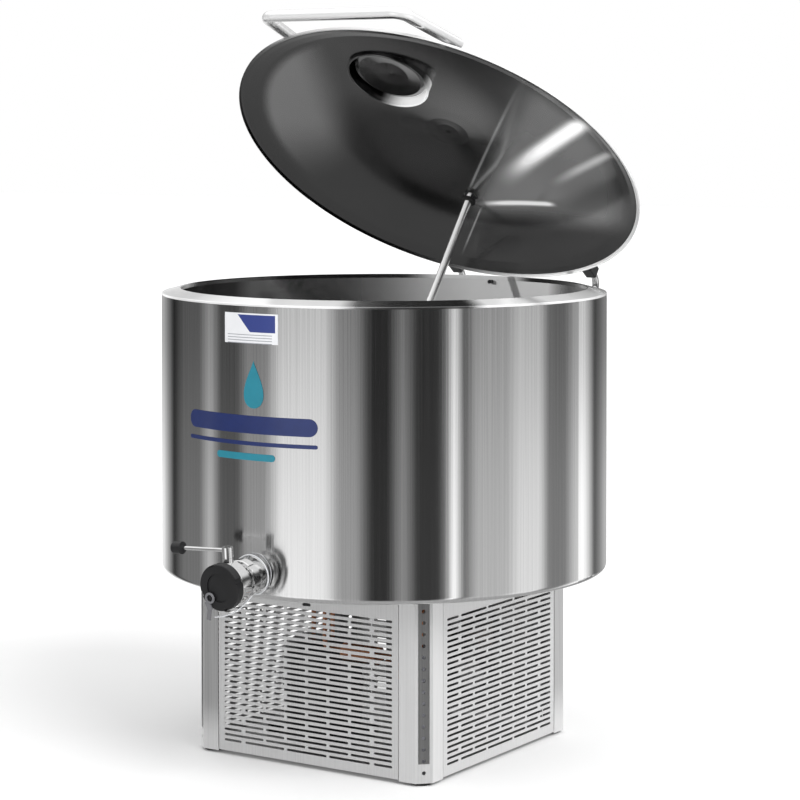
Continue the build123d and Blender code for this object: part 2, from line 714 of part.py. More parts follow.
def make_compressor():
    can = disc(86, 34, 224)
    can = fillet(can.edges().group_by(Axis.Z)[-1], 40)
    can = fillet(can.edges().group_by(Axis.Z)[0], 8)
    can += disc(89, 120, 128)
    plate = block((-100, -75, 26.2), (100, 75, 34.2))
    return Pos(COMPRESSOR_X, COMPRESSOR_Y, 0) * (can + fillet(plate.edges().filter_by(Axis.Z), 12))


def make_compressor_mounts():
    mounts = []
    for x in (-88, 88):
        for y in (-62, 62):
            mounts.append(disc(12, TRAY_TOP + 0.1, 26, COMPRESSOR_X + x, COMPRESSOR_Y + y))
    return group(*mounts)


def make_condenser():
    """Finned coil behind the rear panel."""
    core = block((-130, 240, 50), (250, 272, 310))
    for index in range(18):
        z = 58 + index * 14
        core -= block((-124, 235, z), (244, 245, z + 8))
    bends = []
    for index in range(6):
        z = 72 + index * 40
        bend = Pos(-130, 256, z) * Rot(90, 0, 0) * Torus(9, 4)
        bends.append(bend & block((-160, 240, 0), (-130.1, 280, 400)))
    return group(core, *bends)


def make_fan_shroud():
    plate = block((-130, SHROUD_Y, 50), (250, SHROUD_Y + 2, 310))
    plate -= bar_y(FAN_R + 6, 190, 220, FAN_X, FAN_Z)
    ring = bar_y(FAN_R + 8, SHROUD_Y - 16, SHROUD_Y + 2, FAN_X, FAN_Z)
    ring -= bar_y(FAN_R + 6, 150, 230, FAN_X, FAN_Z)
    sides = block((-130, SHROUD_Y + 2, 50), (-128, 239.8, 310))
    sides += block((248, SHROUD_Y + 2, 50), (250, 239.8, 310))
    foot = block((-130, SHROUD_Y, TRAY_TOP + 0.1), (250, SHROUD_Y + 30, 50))
    foot -= block((-126, SHROUD_Y - 10, TRAY_TOP + 3), (246, SHROUD_Y + 40, 47))
    return plate + ring + sides + foot


def make_fan_motor():
    """Motor on a cross strap in front of the fan."""
    body = bar_y(40, SHROUD_Y - 92, SHROUD_Y - 34, FAN_X, FAN_Z)
    body = fillet(body.edges().filter_by(GeomType.CIRCLE), 6)
    strap = block((FAN_X - 14, SHROUD_Y - 60, TRAY_TOP + 0.1), (FAN_X + 14, SHROUD_Y - 56, FAN_Z))
    foot = block((FAN_X - 14, SHROUD_Y - 60, TRAY_TOP + 0.1), (FAN_X + 14, SHROUD_Y - 20, TRAY_TOP + 4))
    shaft = bar_y(3, SHROUD_Y - 40, SHROUD_Y - 6, FAN_X, FAN_Z)
    return body + strap + foot + shaft


def make_fan_blades():
    hub = bar_y(22, SHROUD_Y - 26, SHROUD_Y - 6.4, FAN_X, FAN_Z)
    for index in range(5):
        blade = Pos(0, 0, 60) * Rot(0, 0, 65) * Box(3, 52, 92)
        blade = blade & bar_y(FAN_R, -11, 11, 0, 0)
        hub += Pos(FAN_X, SHROUD_Y - 15, FAN_Z) * Rot(0, index * 72, 0) * blade
    return hub - bar_y(3 + RUNNING_GAP, SHROUD_Y - 60, SHROUD_Y - 5.8, FAN_X, FAN_Z)


def make_liquid_receiver():
    vessel = disc(45, TRAY_TOP + 12, 250, 190, -150)
    vessel = fillet(vessel.edges().filter_by(GeomType.CIRCLE), 20)
    return vessel + disc(30, TRAY_TOP + 0.1, TRAY_TOP + 16, 190, -150)


def make_filter_drier():
    drier = [(0, -70), (6, -70), (6, -55), (20, -42), (20, 42), (6, 55), (6, 70), (0, 70)]
    return Pos(70, -190, 230) * Rot(0, 90, 0) * turned(drier)


def make_refrigerant_pipes():
    discharge = bent_bar([(-95, -60, 224.5), (-95, -60, 318), (-95, 256, 318), (-40, 256, 318)], 5, 14)
    drop = Pos(-40, 256, 0) * disc(5, 310.3, 318)
    liquid = bent_bar([(190, 256, 310.5), (190, 256, 330), (190, -150, 330), (190, -150, 250.3)], 5, 14)
    to_drier = bent_bar([(190, -195.3, 200), (190, -235, 200), (190, -235, 230), (160, -235, 230)], 5, 10)
    feed_run = [(-0.3, -190, 230), (-25, -190, 230), (-25, -190, 340), (-60, 150, 340), (-60, 150, 365.8)]
    suction_run = [(60, 150, 365.8), (60, 150, 345), (60, -60, 345), (-145, -60, 345), (-145, -60, 224.3)]
    feed = bent_bar(feed_run, 5, 12)
    suction = bent_bar(suction_run, 5, 12)
    return group(discharge + drop, liquid, to_drier, feed, suction)


# ---- Controls on the rear of the base ----

BOX_Y = BASE_HALF + 0.2
BOX_DEPTH = 62.0
KNOB_X = 46.0
SWITCH_X = -58.0
CONTROL_Z = 285.0


def make_control_box():
    box = block((-95, BOX_Y, 230), (95, BOX_Y + BOX_DEPTH, 345))
    box = fillet(box.edges().filter_by(Axis.Y), 8)
    box -= bar_y(6 + RUNNING_GAP, BOX_Y + 30, BOX_Y + 80, KNOB_X, CONTROL_Z)
    box -= block((SWITCH_X - 11, BOX_Y + 44, CONTROL_Z - 16), (SWITCH_X + 11, BOX_Y + 80, CONTROL_Z + 16))
    return box - block((-32, BOX_Y + BOX_DEPTH - 4, 305), (18, BOX_Y + 80, 330))


def make_control_display():
    return block((-31.8, BOX_Y + BOX_DEPTH - 3.8, 305.2), (17.8, BOX_Y + BOX_DEPTH + 0.6, 329.8))


def make_thermostat_knob():
    stem = bar_y(6, BOX_Y + 40, BOX_Y + BOX_DEPTH + 2, KNOB_X, CONTROL_Z)
    dial = bar_y(21, BOX_Y + BOX_DEPTH + 0.6, BOX_Y + BOX_DEPTH + 8, KNOB_X, CONTROL_Z)
    grip = bar_y(14, BOX_Y + BOX_DEPTH + 7, BOX_Y + BOX_DEPTH + 22, KNOB_X, CONTROL_Z)
    for index in range(12):
        angle = math.radians(index * 30)
        x = KNOB_X + 14.5 * math.cos(angle)
        z = CONTROL_Z + 14.5 * math.sin(angle)
        grip -= bar_y(2, BOX_Y + BOX_DEPTH + 9, BOX_Y + BOX_DEPTH + 30, x, z)
    return stem + dial + grip


def make_switch_rocker():
    """Rocker that tips about an axle along X."""
    front = BOX_Y + BOX_DEPTH
    body = bar_x(13, -8.5, 8.5, 0, 0) & block((-9, -6, -12), (9, 13, 12))
    body += bar_x(2.5, -10.9, 10.9, 0, 0)
    return Pos(SWITCH_X, front - 9, CONTROL_Z) * body


def make_power_cable():
    run = bent_bar([(60, 330, 229.8), (60, 330, 60), (60, 400, 7), (-40, 430, 7), (-160, 400, 7)], 4, 18)
    gland = disc(8, 214, 229.8, 60, 330)
    plug = block((-212, 382, 0.5), (-158, 418, 32))
    plug = fillet(plug.edges().filter_by(Axis.X), 10)
    for y in (390.5, 409.5):
        plug += bar_x(2.4, -231, -211, y, 16)
    return run + gland + plug


ROOT_PARTS = {
    "outer_jacket": make_outer_jacket, "jacket_bottom": make_jacket_bottom,
    "inner_vessel": make_inner_vessel, "rim_ring": make_rim_ring,
    "insulation_foam": make_insulation, "evaporator_plate": make_evaporator,
    "dipstick": make_dipstick, "temperature_probe": make_temperature_probe,
    "rating_plate": make_rating_plate, "hinge_brackets": make_hinge_brackets,
    "hinge_shaft": make_hinge_shaft, "hinge_springs": make_hinge_springs,
    "bracket_bolts": make_bracket_bolts, "outlet_pipe": make_outlet_pipe,
    "union_nut": make_union_nut,
    "valve_body": make_valve_body, "valve_bolts": make_valve_bolts, "valve_seat": make_valve_seat,
    "valve_disc": make_valve_disc, "valve_lever": make_valve_lever, "lever_knob": make_lever_knob,
    "outlet_cap": make_outlet_cap, "cap_strap": make_cap_strap,
    "corner_posts": make_corner_posts, "leg_channels": make_leg_channels,
    "foot_pads": make_foot_pads, "side_panels": make_side_panels, "panel_screws": make_panel_screws,
    "base_top_frame": make_base_top_frame, "base_tray": make_base_tray,
    "compressor": make_compressor, "compressor_mounts": make_compressor_mounts,
    "condenser_coil": make_condenser, "fan_shroud": make_fan_shroud,
    "fan_motor": make_fan_motor, "fan_blades": make_fan_blades,
    "liquid_receiver": make_liquid_receiver, "filter_drier": make_filter_drier,
    "refrigerant_pipes": make_refrigerant_pipes, "control_box": make_control_box,
    "control_display": make_control_display, "thermostat_knob": make_thermostat_knob,
    "switch_rocker": make_switch_rocker, "power_cable": make_power_cable,
}
LID_PARTS = {
    "lid_shell": make_lid_shell, "hatch_collar": make_hatch_collar, "hatch_seal": make_hatch_seal,
    "hatch_cover": make_hatch_cover, "lid_handle": make_lid_handle,
    "handle_feet": make_handle_feet, "lid_arms": make_lid_arms,
    "arm_clamps": make_arm_clamps, "lid_cross_bar": make_lid_cross_bar,
    "motor_flange": make_motor_flange, "shaft_bearing": make_shaft_bearing, "gearbox": make_gearbox,
    "agitator_motor": make_agitator_motor,
    "agitator_shaft": make_agitator_shaft, "shaft_collar": make_shaft_collar,
    "agitator_paddle": make_agitator_paddle,
}


def main():
    for name, make in ROOT_PARTS.items():
        export_step(make(), f"parts/{name}.step")
    for name, make in LID_PARTS.items():
        export_step(opened(make()), f"parts/{name}.step")


main()
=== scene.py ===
import bpy
import bmesh
import json
import math
from mathutils import Euler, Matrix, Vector


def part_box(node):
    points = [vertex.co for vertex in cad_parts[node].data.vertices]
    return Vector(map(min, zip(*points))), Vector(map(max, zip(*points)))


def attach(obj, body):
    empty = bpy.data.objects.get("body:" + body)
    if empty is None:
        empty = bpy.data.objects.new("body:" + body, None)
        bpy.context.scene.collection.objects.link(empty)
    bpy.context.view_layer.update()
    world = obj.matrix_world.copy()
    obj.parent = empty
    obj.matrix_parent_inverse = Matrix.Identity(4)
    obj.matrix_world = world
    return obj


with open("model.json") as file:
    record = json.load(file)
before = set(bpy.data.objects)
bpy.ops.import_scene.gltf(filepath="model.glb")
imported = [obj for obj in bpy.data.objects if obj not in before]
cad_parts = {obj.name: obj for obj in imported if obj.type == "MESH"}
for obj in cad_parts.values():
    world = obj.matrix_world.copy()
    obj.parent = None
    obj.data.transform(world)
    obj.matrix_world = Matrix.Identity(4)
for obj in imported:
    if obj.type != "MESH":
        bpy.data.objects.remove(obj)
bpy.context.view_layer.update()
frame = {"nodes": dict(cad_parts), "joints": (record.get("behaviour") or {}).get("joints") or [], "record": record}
nodes = frame["nodes"]

# Sizes and places, in metres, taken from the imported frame
JACKET_LOW, JACKET_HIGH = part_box("outer_jacket")
TANK_R = (JACKET_HIGH.x - JACKET_LOW.x) / 2
JOINTS = {joint["name"]: joint for joint in frame["joints"]}
LID_UP = Vector(JOINTS["hatch_lift"]["axis"])
LID_BACK = Vector((0, LID_UP.z, -LID_UP.y))
HINGE = Vector(JOINTS["lid_hinge"]["pos_m"])
HINGE_TO_MIDDLE = 0.519
HINGE_TO_RIM_PLANE = 0.183
MIDDLE_TO_HATCH = 0.262
LID_CENTRE = HINGE - HINGE_TO_MIDDLE * LID_BACK + HINGE_TO_RIM_PLANE * LID_UP
HATCH_CENTRE = LID_CENTRE - MIDDLE_TO_HATCH * LID_BACK
LIP_RADIUS = 0.4625
BASE_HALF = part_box("corner_posts")[1].x
OUTLET_OUT = Vector(JOINTS["cap_pull"]["axis"])
OUTLET_UP = Vector((0, OUTLET_OUT.z, -OUTLET_OUT.y))
OUTLET_WALL = Vector((0, -0.478, 0.433))

# Places on the lid are pairs: across, and towards the hinge, from its middle
SHAFT_FOOT = (-0.034, 0.199)
SHAFT_MIRROR_END = (0.345, -0.275)
# The lid's painted lit fields end at lines: the left one where across + slope x back + offset is 0,
# and the right one at the painted mirror line of the shaft, which is crossed in this direction
LEFT_FIELD_SLOPE, LEFT_FIELD_OFFSET = 0.335, 0.207
ACROSS_SHAFT_LINE = (0.781, 0.624)
# Painted streaks of light on the lid: where each starts and ends, its half-width and its strength
LID_STREAKS = [
    ((0.05, 0.183), (0.43, -0.13), 0.034, 0.9),
    ((0.20, 0.16), (0.45, -0.02), 0.018, 0.5),
    ((-0.05, 0.240), (0.19, 0.219), 0.012, 0.9),
    (SHAFT_MIRROR_END, SHAFT_FOOT, 0.006, 0.35),
    ((-0.145, 0.414), (-0.021, 0.251), 0.004, 0.35),
]
# The painted highlight that glows on the lid: where it starts and ends, and its half-width
LID_GLINT = ((0.10, 0.142), (0.43, -0.13), 0.026)

# Painted light and reflection round the tank: degrees from +X, anticlockwise from above, and level
VESSEL_LIGHT = [(54, 0.0), (66, 0.62), (95, 0.62), (110, 0.52), (125, 0.34), (140, 0.12), (158, 0.0)]
VESSEL_PAINTED_REFLECTION = [(125, 0.27), (138, 0.42), (160, 0.42), (174, 0.06), (200, 0.05), (240, 0.27)]
RIM_LIGHT = [
    (15, 1.0), (40, 0.35), (50, 0.10), (74, 0.10), (81, 0.70), (108, 0.70), (117, 0.10), (194, 0.10),
    (203, 1.0), (292, 1.0), (297, 0.30), (306, 0.12), (324, 0.12), (329, 1.0), (340, 1.0), (344, 0.6),
    (348, 1.0),
]

# Camera: azimuth from the front towards +X, distance from the tank's axis, height, downward pitch
CAMERA_AZIMUTH = math.radians(33.4)
CAMERA_DISTANCE = 5.439
CAMERA_HEIGHT = 1.347
CAMERA_PITCH = math.radians(1.36)
CAMERA_LENS = 113.2
CAMERA_SHIFT = (0.0196, -0.276)
CAMERA_RIGHT = Vector((math.cos(CAMERA_AZIMUTH), math.sin(CAMERA_AZIMUTH), 0))

NAVY = (0.010, 0.022, 0.110, 1)
TEAL = (0.010, 0.190, 0.260, 1)
PALE_GREY = (0.70, 0.71, 0.73, 1)
EVEN_LIGHT = 1.02


# ---- Node helpers ----

def add(tree, kind, inputs=None, **settings):
    """A shader node with settings and inputs; an input may be a value or another node's socket."""
    node = tree.nodes.new(kind)
    for key, value in settings.items():
        setattr(node, key, value)
    for key, value in (inputs or {}).items():
        if isinstance(value, bpy.types.NodeSocket):
            tree.links.new(value, node.inputs[key])
        else:
            node.inputs[key].default_value = value
    return node


def maths(tree, operation, first, second=0.0, clamp=False):
    """The output of a math node; its inputs may be values or sockets."""
    node = add(tree, "ShaderNodeMath", {0: first, 1: second}, operation=operation, use_clamp=clamp)
    return node.outputs[0]


def ramp(tree, factor, stops):
    """A colour that follows a 0-1 factor through stops, which are pairs of place and colour."""
    node = add(tree, "ShaderNodeValToRGB", {"Fac": factor})
    elements = node.color_ramp.elements
    while len(elements) < len(stops):
        elements.new(1.0)
    for element, (place, colour) in zip(elements, stops):
        element.position = place
        element.color = colour
    return node.outputs["Color"]


def grey(value):
    return (value, value, value, 1)


def blank(name):
    """A material with its tree and its Principled shader."""
    made = bpy.data.materials.new(name)
    made.use_nodes = True
    return made, made.node_tree, made.node_tree.nodes["Principled BSDF"]


def noise(tree, scale, stretch=(1, 1, 1), detail=4.0):
    """Noise in object space, stretched by a mapping so that grain can run along one axis."""
    place = add(tree, "ShaderNodeTexCoord").outputs["Object"]
    mapped = add(tree, "ShaderNodeMapping", {"Vector": place, "Scale": stretch}).outputs[0]
    inputs = {"Vector": mapped, "Scale": scale, "Detail": detail}
    return add(tree, "ShaderNodeTexNoise", inputs).outputs["Fac"]


def position(tree):
    """The X, Y and Z sockets of the place on the object, at its resting pose."""
    place = add(tree, "ShaderNodeTexCoord").outputs["Object"]
    return add(tree, "ShaderNodeSeparateXYZ", {0: place}).outputs


def along(tree, direction, origin=(0, 0, 0)):
    """How far the place on the object lies from an origin along a direction."""
    place = add(tree, "ShaderNodeTexCoord").outputs["Object"]
    moved = add(tree, "ShaderNodeVectorMath", {0: place, 1: tuple(origin)},
                operation="SUBTRACT").outputs[0]
    return add(tree, "ShaderNodeVectorMath", {0: moved, 1: tuple(direction)},
               operation="DOT_PRODUCT").outputs["Value"]


def soft_step(tree, value, start, end):
    """Rises smoothly from 0 to 1 between two values; start may be the larger one."""
    return add(tree, "ShaderNodeMapRange", {"Value": value, "From Min": start, "From Max": end},
               interpolation_type="SMOOTHSTEP").outputs[0]


def product(tree, *factors):
    """The product of several values."""
    total = factors[0]
    for factor in factors[1:]:
        total = maths(tree, "MULTIPLY", total, factor)
    return total


def between(tree, factor, low, high):
    """A value that follows a 0-1 factor from low to high."""
    return add(tree, "ShaderNodeMapRange", {"Value": factor, "From Min": 0.3, "From Max": 0.7,
                                            "To Min": low, "To Max": high}).outputs[0]


# ---- Materials ----

def steel(name, tone, roughness, grain, grain_scale=1.0, contrast=0.12, bump=0.02, smudge=0.05,
          satin_and_painted_light=0.0, glint=None, upright_spread=0.0):
    """Stainless steel: fine grain along one direction, soft smudges and a slight bump.

    Satin is how much of the surface scatters light evenly; as a function it also paints light and shade
    into the colour. Tone may be a function that makes a socket too, and then paints reflection and shade
    into the metal; so may glint, which paints a burnt-out highlight as glow.
    """
    made, tree, shader = blank(name)
    fine = noise(tree, grain_scale, grain, 3.0)
    broad = noise(tree, 3.5, (1, 1, 0.6), 2.0)
    level = tone(tree) if callable(tone) else tone
    uneven = maths(tree, "MULTIPLY", level, between(tree, fine, 1 - contrast, 1 + contrast / 2),
                   clamp=True)
    colour = mix_colour(tree, uneven, grey(0.0), grey(1.0))
    # Painted light and shade: where the even scatter is a function, the colour turns pale grey where it is high.
    satin_share_and_painted_light = satin_and_painted_light(tree) if callable(satin_and_painted_light) else satin_and_painted_light
    tree.links.new(mix_colour(tree, satin_share_and_painted_light, colour, grey(0.9)), shader.inputs["Base Color"])
    tree.links.new(maths(tree, "SUBTRACT", 1.0, satin_share_and_painted_light, clamp=True), shader.inputs["Metallic"])
    rough = maths(tree, "ADD", between(tree, fine, roughness * 0.9, roughness * 1.1),
                  between(tree, broad, -smudge, smudge), clamp=True)
    tree.links.new(rough, shader.inputs["Roughness"])
    # Painted highlight: a glint function makes the surface glow, though it is no lamp.
    if glint:
        shader.inputs["Emission Color"].default_value = grey(1.0)
        tree.links.new(glint(tree), shader.inputs["Emission Strength"])
    if upright_spread:
        shader.inputs["Anisotropic"].default_value = upright_spread
        shader.inputs["Anisotropic Rotation"].default_value = 0.25
        tangent = add(tree, "ShaderNodeTangent", direction_type="RADIAL", axis="Z")
        tree.links.new(tangent.outputs[0], shader.inputs["Tangent"])
    lift = add(tree, "ShaderNodeBump", {"Height": fine, "Strength": bump, "Distance": 0.001})
    tree.links.new(lift.outputs[0], shader.inputs["Normal"])
    return made


def mix_colour(tree, factor, first, second):
    """A colour between two others; each may be a value or a socket."""
    node = add(tree, "ShaderNodeMix", data_type="RGBA")
    for socket, value in ((node.inputs[0], factor), (node.inputs[6], first), (node.inputs[7], second)):
        if isinstance(value, bpy.types.NodeSocket):
            tree.links.new(value, socket)
        else:
            socket.default_value = value
    return node.outputs[2]


def coated(name, colour, roughness, grain_scale=900.0, bump=0.15, variation=0.25, coat=0.0,
           metallic=0.0):
    """Moulded plastic, rubber or enamel with fine surface grain and slight colour variation."""
    made, tree, shader = blank(name)
    fine = noise(tree, grain_scale, detail=2.0)
    broad = noise(tree, 12.0, detail=3.0)
    dark = tuple(c * (1 - variation) for c in colour[:3]) + (1,)
    light = tuple(min(1, c * (1 + variation)) for c in colour[:3]) + (1,)
    shade = mix_colour(tree, between(tree, broad, 0, 1), dark, light)
    tree.links.new(shade, shader.inputs["Base Color"])
    rough = between(tree, broad, roughness * 0.85, min(1, roughness * 1.15))
    tree.links.new(rough, shader.inputs["Roughness"])
    shader.inputs["Coat Weight"].default_value = coat
    shader.inputs["Coat Roughness"].default_value = 0.12
    shader.inputs["Metallic"].default_value = metallic
    lift = add(tree, "ShaderNodeBump", {"Height": fine, "Strength": bump, "Distance": 0.0004})
    tree.links.new(lift.outputs[0], shader.inputs["Normal"])
    return made


def streak(tree, across, upward, start, end, width):
    """A soft straight streak between two points of a flat pair of coordinates."""
    run = Vector(end) - Vector(start)
    length = run.length
    run /= length
    from_x = maths(tree, "SUBTRACT", across, start[0])
    from_y = maths(tree, "SUBTRACT", upward, start[1])
    run_along = maths(tree, "ADD", maths(tree, "MULTIPLY", from_x, run.x),
                      maths(tree, "MULTIPLY", from_y, run.y))
    aside = maths(tree, "SUBTRACT", maths(tree, "MULTIPLY", from_x, run.y),
                  maths(tree, "MULTIPLY", from_y, run.x))
    reach = soft_step(tree, maths(tree, "ABSOLUTE", aside), width, 0.0)
    return product(tree, reach, soft_step(tree, run_along, 0.0, length * 0.5),
                   soft_step(tree, run_along, length * 1.05, length * 0.9))


def on_lid(across, back):
    """A step across the lid and towards the hinge."""
    return Vector((across, 0, 0)) + back * LID_BACK


def lid_place(tree):
    """A place on the lid: across, towards the hinge, and the distance from the lid's middle."""
    across = along(tree, (1, 0, 0), LID_CENTRE)
    back = along(tree, LID_BACK, LID_CENTRE)
    radius = maths(tree, "SQRT", maths(tree, "ADD", maths(tree, "MULTIPLY", across, across),
                                       maths(tree, "MULTIPLY", back, back)))
    return across, back, radius


def lid_sheen(tree):
    """Painted light on the lid's inner cone: two lit fields, a few streaks and a partly bright lip."""
    across, back, radius = lid_place(tree)
    sweep = maths(tree, "DIVIDE", maths(tree, "ARCTAN2", back, across), 2 * math.pi)
    turn = maths(tree, "FRACT", maths(tree, "ADD", sweep, 1.0))
    slanted = maths(tree, "MULTIPLY", back, LEFT_FIELD_SLOPE)
    edge = maths(tree, "ADD", across, maths(tree, "ADD", slanted, LEFT_FIELD_OFFSET))
    left = product(tree, soft_step(tree, edge, 0.0, -0.12), soft_step(tree, turn, 0.45, 0.56),
                   soft_step(tree, radius, 0.425, 0.395))
    from_shaft = along(tree, on_lid(*ACROSS_SHAFT_LINE), LID_CENTRE + on_lid(*SHAFT_FOOT))
    right = product(tree, soft_step(tree, from_shaft, -0.01, 0.06), soft_step(tree, back, 0.32, 0.23),
                    soft_step(tree, radius, 0.48, 0.38))
    lip_glow = product(tree, soft_step(tree, across, -0.36, 0.10), 0.85)
    # Painted light in layers: an even base, a brighter middle, the two lit fields, the streaks and the lip.
    layers = [(1.0, 0.026), (soft_step(tree, radius, 0.30, 0.12), 0.055), (left, 0.25), (right, 0.30)]
    for start, end, width, strength in LID_STREAKS:
        layers.append((streak(tree, across, back, start, end, width), strength))
    layers.append((maths(tree, "GREATER_THAN", radius, LIP_RADIUS), lip_glow))
    total = 0.0
    for layer, strength in layers:
        total = maths(tree, "ADD", total, maths(tree, "MULTIPLY", layer, strength), clamp=True)
    return maths(tree, "MULTIPLY", total, lid_inner_side(tree))


def lid_glint(tree):
    """Painted highlight that glows: the brightest part of the lid's widest streak."""
    across, back, _ = lid_place(tree)
    return product(tree, streak(tree, across, back, *LID_GLINT), lid_inner_side(tree), 0.6)


def lid_inner_side(tree):
    """1 on the lid's inner side, 0 on its outer side."""
    return maths(tree, "LESS_THAN", facing(tree, LID_UP), 0.3)


def lid_painted_shade(tree):
    """Painted shade: the lid is much darker inside than outside."""
    return maths(tree, "SUBTRACT", 0.42, maths(tree, "MULTIPLY", lid_inner_side(tree), 0.34))


def collar_sheen(tree):
    """Painted light: the hatch collar catches light on its side nearest the hinge and to the right."""
    toward = LID_BACK * 0.90 + Vector((0.44, 0, 0))
    lit = soft_step(tree, along(tree, toward, HATCH_CENTRE), 0.035, 0.085)
    return maths(tree, "MULTIPLY", lit, 0.95)


def collar_glint(tree):
    """Painted highlight that glows: the same side of the hatch collar, burnt out."""
    return maths(tree, "MULTIPLY", collar_sheen(tree), 0.4)


def facing(tree, direction):
    """How far the surface faces a direction: 1 straight at it, -1 straight away."""
    normal = add(tree, "ShaderNodeTexCoord").outputs["Normal"]
    return add(tree, "ShaderNodeVectorMath", {0: normal, 1: tuple(direction)},
               operation="DOT_PRODUCT").outputs["Value"]


def handle_sheen(tree):
    """Painted light and shade: the lid's handle is bright on top and dark along its underside."""
    return maths(tree, "MULTIPLY", soft_step(tree, facing(tree, (0, 0, 1)), -0.85, -0.30), 0.7)


def shaft_sheen(tree):
    """Painted light and shade: the agitator shaft is bright on its left side and darker on its right."""
    right = facing(tree, CAMERA_RIGHT)
    return product(tree, soft_step(tree, right, 0.35, 0.05), soft_step(tree, right, -0.95, -0.55), 0.72)


def round_the_tank(tree, stops):
    """A value that changes round the tank's axis; stops are pairs of degrees from +X and level."""
    x, y, z = position(tree)
    turn = maths(tree, "DIVIDE", maths(tree, "ARCTAN2", y, x), 2 * math.pi)
    return ramp(tree, maths(tree, "FRACT", maths(tree, "ADD", turn, 1.0)),
                [(degrees / 360, grey(level)) for degrees, level in stops])


def vessel_sheen(tree):
    """Painted light: the rear wall of the vessel catches soft light, most of it right of the middle."""
    return round_the_tank(tree, VESSEL_LIGHT)


def vessel_painted_reflection(tree):
    """Painted reflection: the vessel's left wall is given the dark tone of the lid it mirrors."""
    return round_the_tank(tree, VESSEL_PAINTED_REFLECTION)


def rim_light(tree):
    """Painted reflection: what the top of the rim mirrors on its way round the tank, as its tone."""
    return round_the_tank(tree, RIM_LIGHT)


def rim_sheen(tree):
    """Painted light: where the rim's painted reflection is bright, most of it is scattered evenly."""
    return maths(tree, "MULTIPLY", rim_light(tree), 0.75)


def post_sheen(tree):
    """Painted shade: the posts are bright by the front corner and duller away from it, above the floor."""
    x, y, z = position(tree)
    away = maths(tree, "ADD", maths(tree, "SUBTRACT", BASE_HALF, x), maths(tree, "ADD", BASE_HALF, y))
    painted_dimming = product(tree, soft_step(tree, away, 0.20, 0.42), soft_step(tree, z, 0.02, 0.12), 0.44)
    return maths(tree, "SUBTRACT", 0.46, painted_dimming)


def dark_display(name):
    """Dark display glass with a faint green pattern behind it."""
    made, tree, shader = blank(name)
    cells = add(tree, "ShaderNodeTexVoronoi", {"Scale": 260.0}).outputs["Distance"]
    tree.links.new(mix_colour(tree, cells, (0.004, 0.012, 0.010, 1), (0.01, 0.035, 0.028, 1)),
                   shader.inputs["Base Color"])
    shader.inputs["Roughness"].default_value = 0.08
    shader.inputs["Coat Weight"].default_value = 1.0
    return made


def label_film(name):
    """White film with a slanted blue field and plain ruled lines, measured from the plate's corners."""
    made, tree, shader = blank(name)
    low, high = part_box("rating_plate")
    x, y, z = position(tree)
    across = maths(tree, "DIVIDE", maths(tree, "SUBTRACT", x, low.x), high.x - low.x)
    upward = maths(tree, "DIVIDE", maths(tree, "SUBTRACT", z, low.z), high.z - low.z)
    slanted = maths(tree, "ADD", across, maths(tree, "MULTIPLY", upward, 0.42))
    field = maths(tree, "MULTIPLY", maths(tree, "GREATER_THAN", slanted, 0.66),
                  maths(tree, "GREATER_THAN", upward, 0.38))
    inside = maths(tree, "MULTIPLY", maths(tree, "LESS_THAN", across, 0.955),
                   maths(tree, "LESS_THAN", upward, 0.95))
    blue = maths(tree, "MULTIPLY", field, inside)
    rows = maths(tree, "FRACT", maths(tree, "MULTIPLY", upward, 11.0))
    lower = maths(tree, "LESS_THAN", upward, 0.33)
    margin = maths(tree, "MULTIPLY", maths(tree, "GREATER_THAN", across, 0.06),
                   maths(tree, "LESS_THAN", across, 0.9))
    rules = product(tree, maths(tree, "LESS_THAN", rows, 0.28), lower, margin)
    paper = mix_colour(tree, noise(tree, 60.0), (0.74, 0.75, 0.77, 1), (0.82, 0.83, 0.85, 1))
    ruled = mix_colour(tree, rules, paper, (0.30, 0.31, 0.34, 1))
    tree.links.new(mix_colour(tree, blue, ruled, (0.030, 0.050, 0.230, 1)), shader.inputs["Base Color"])
    shader.inputs["Roughness"].default_value = 0.3
    shader.inputs["Coat Weight"].default_value = 0.4
    return made


def ink(name, colour):
    """Printed film on the jacket, very slightly uneven."""
    made, tree, shader = blank(name)
    light = tuple(min(1, c * 1.3) for c in colour[:3]) + (1,)
    tree.links.new(mix_colour(tree, noise(tree, 40.0), colour, light), shader.inputs["Base Color"])
    shader.inputs["Roughness"].default_value = 0.35
    shader.inputs["Coat Weight"].default_value = 0.3
    return made


def foam(name):
    """Cut edge of the insulating foam, with open cells."""
    made, tree, shader = blank(name)
    cells = add(tree, "ShaderNodeTexVoronoi", {"Scale": 400.0}).outputs["Distance"]
    colour = mix_colour(tree, cells, (0.62, 0.50, 0.26, 1), (0.80, 0.68, 0.40, 1))
    tree.links.new(colour, shader.inputs["Base Color"])
    shader.inputs["Roughness"].default_value = 0.9
    lift = add(tree, "ShaderNodeBump", {"Height": cells, "Strength": 0.6, "Distance": 0.001})
    tree.links.new(lift.outputs[0], shader.inputs["Normal"])
    return made


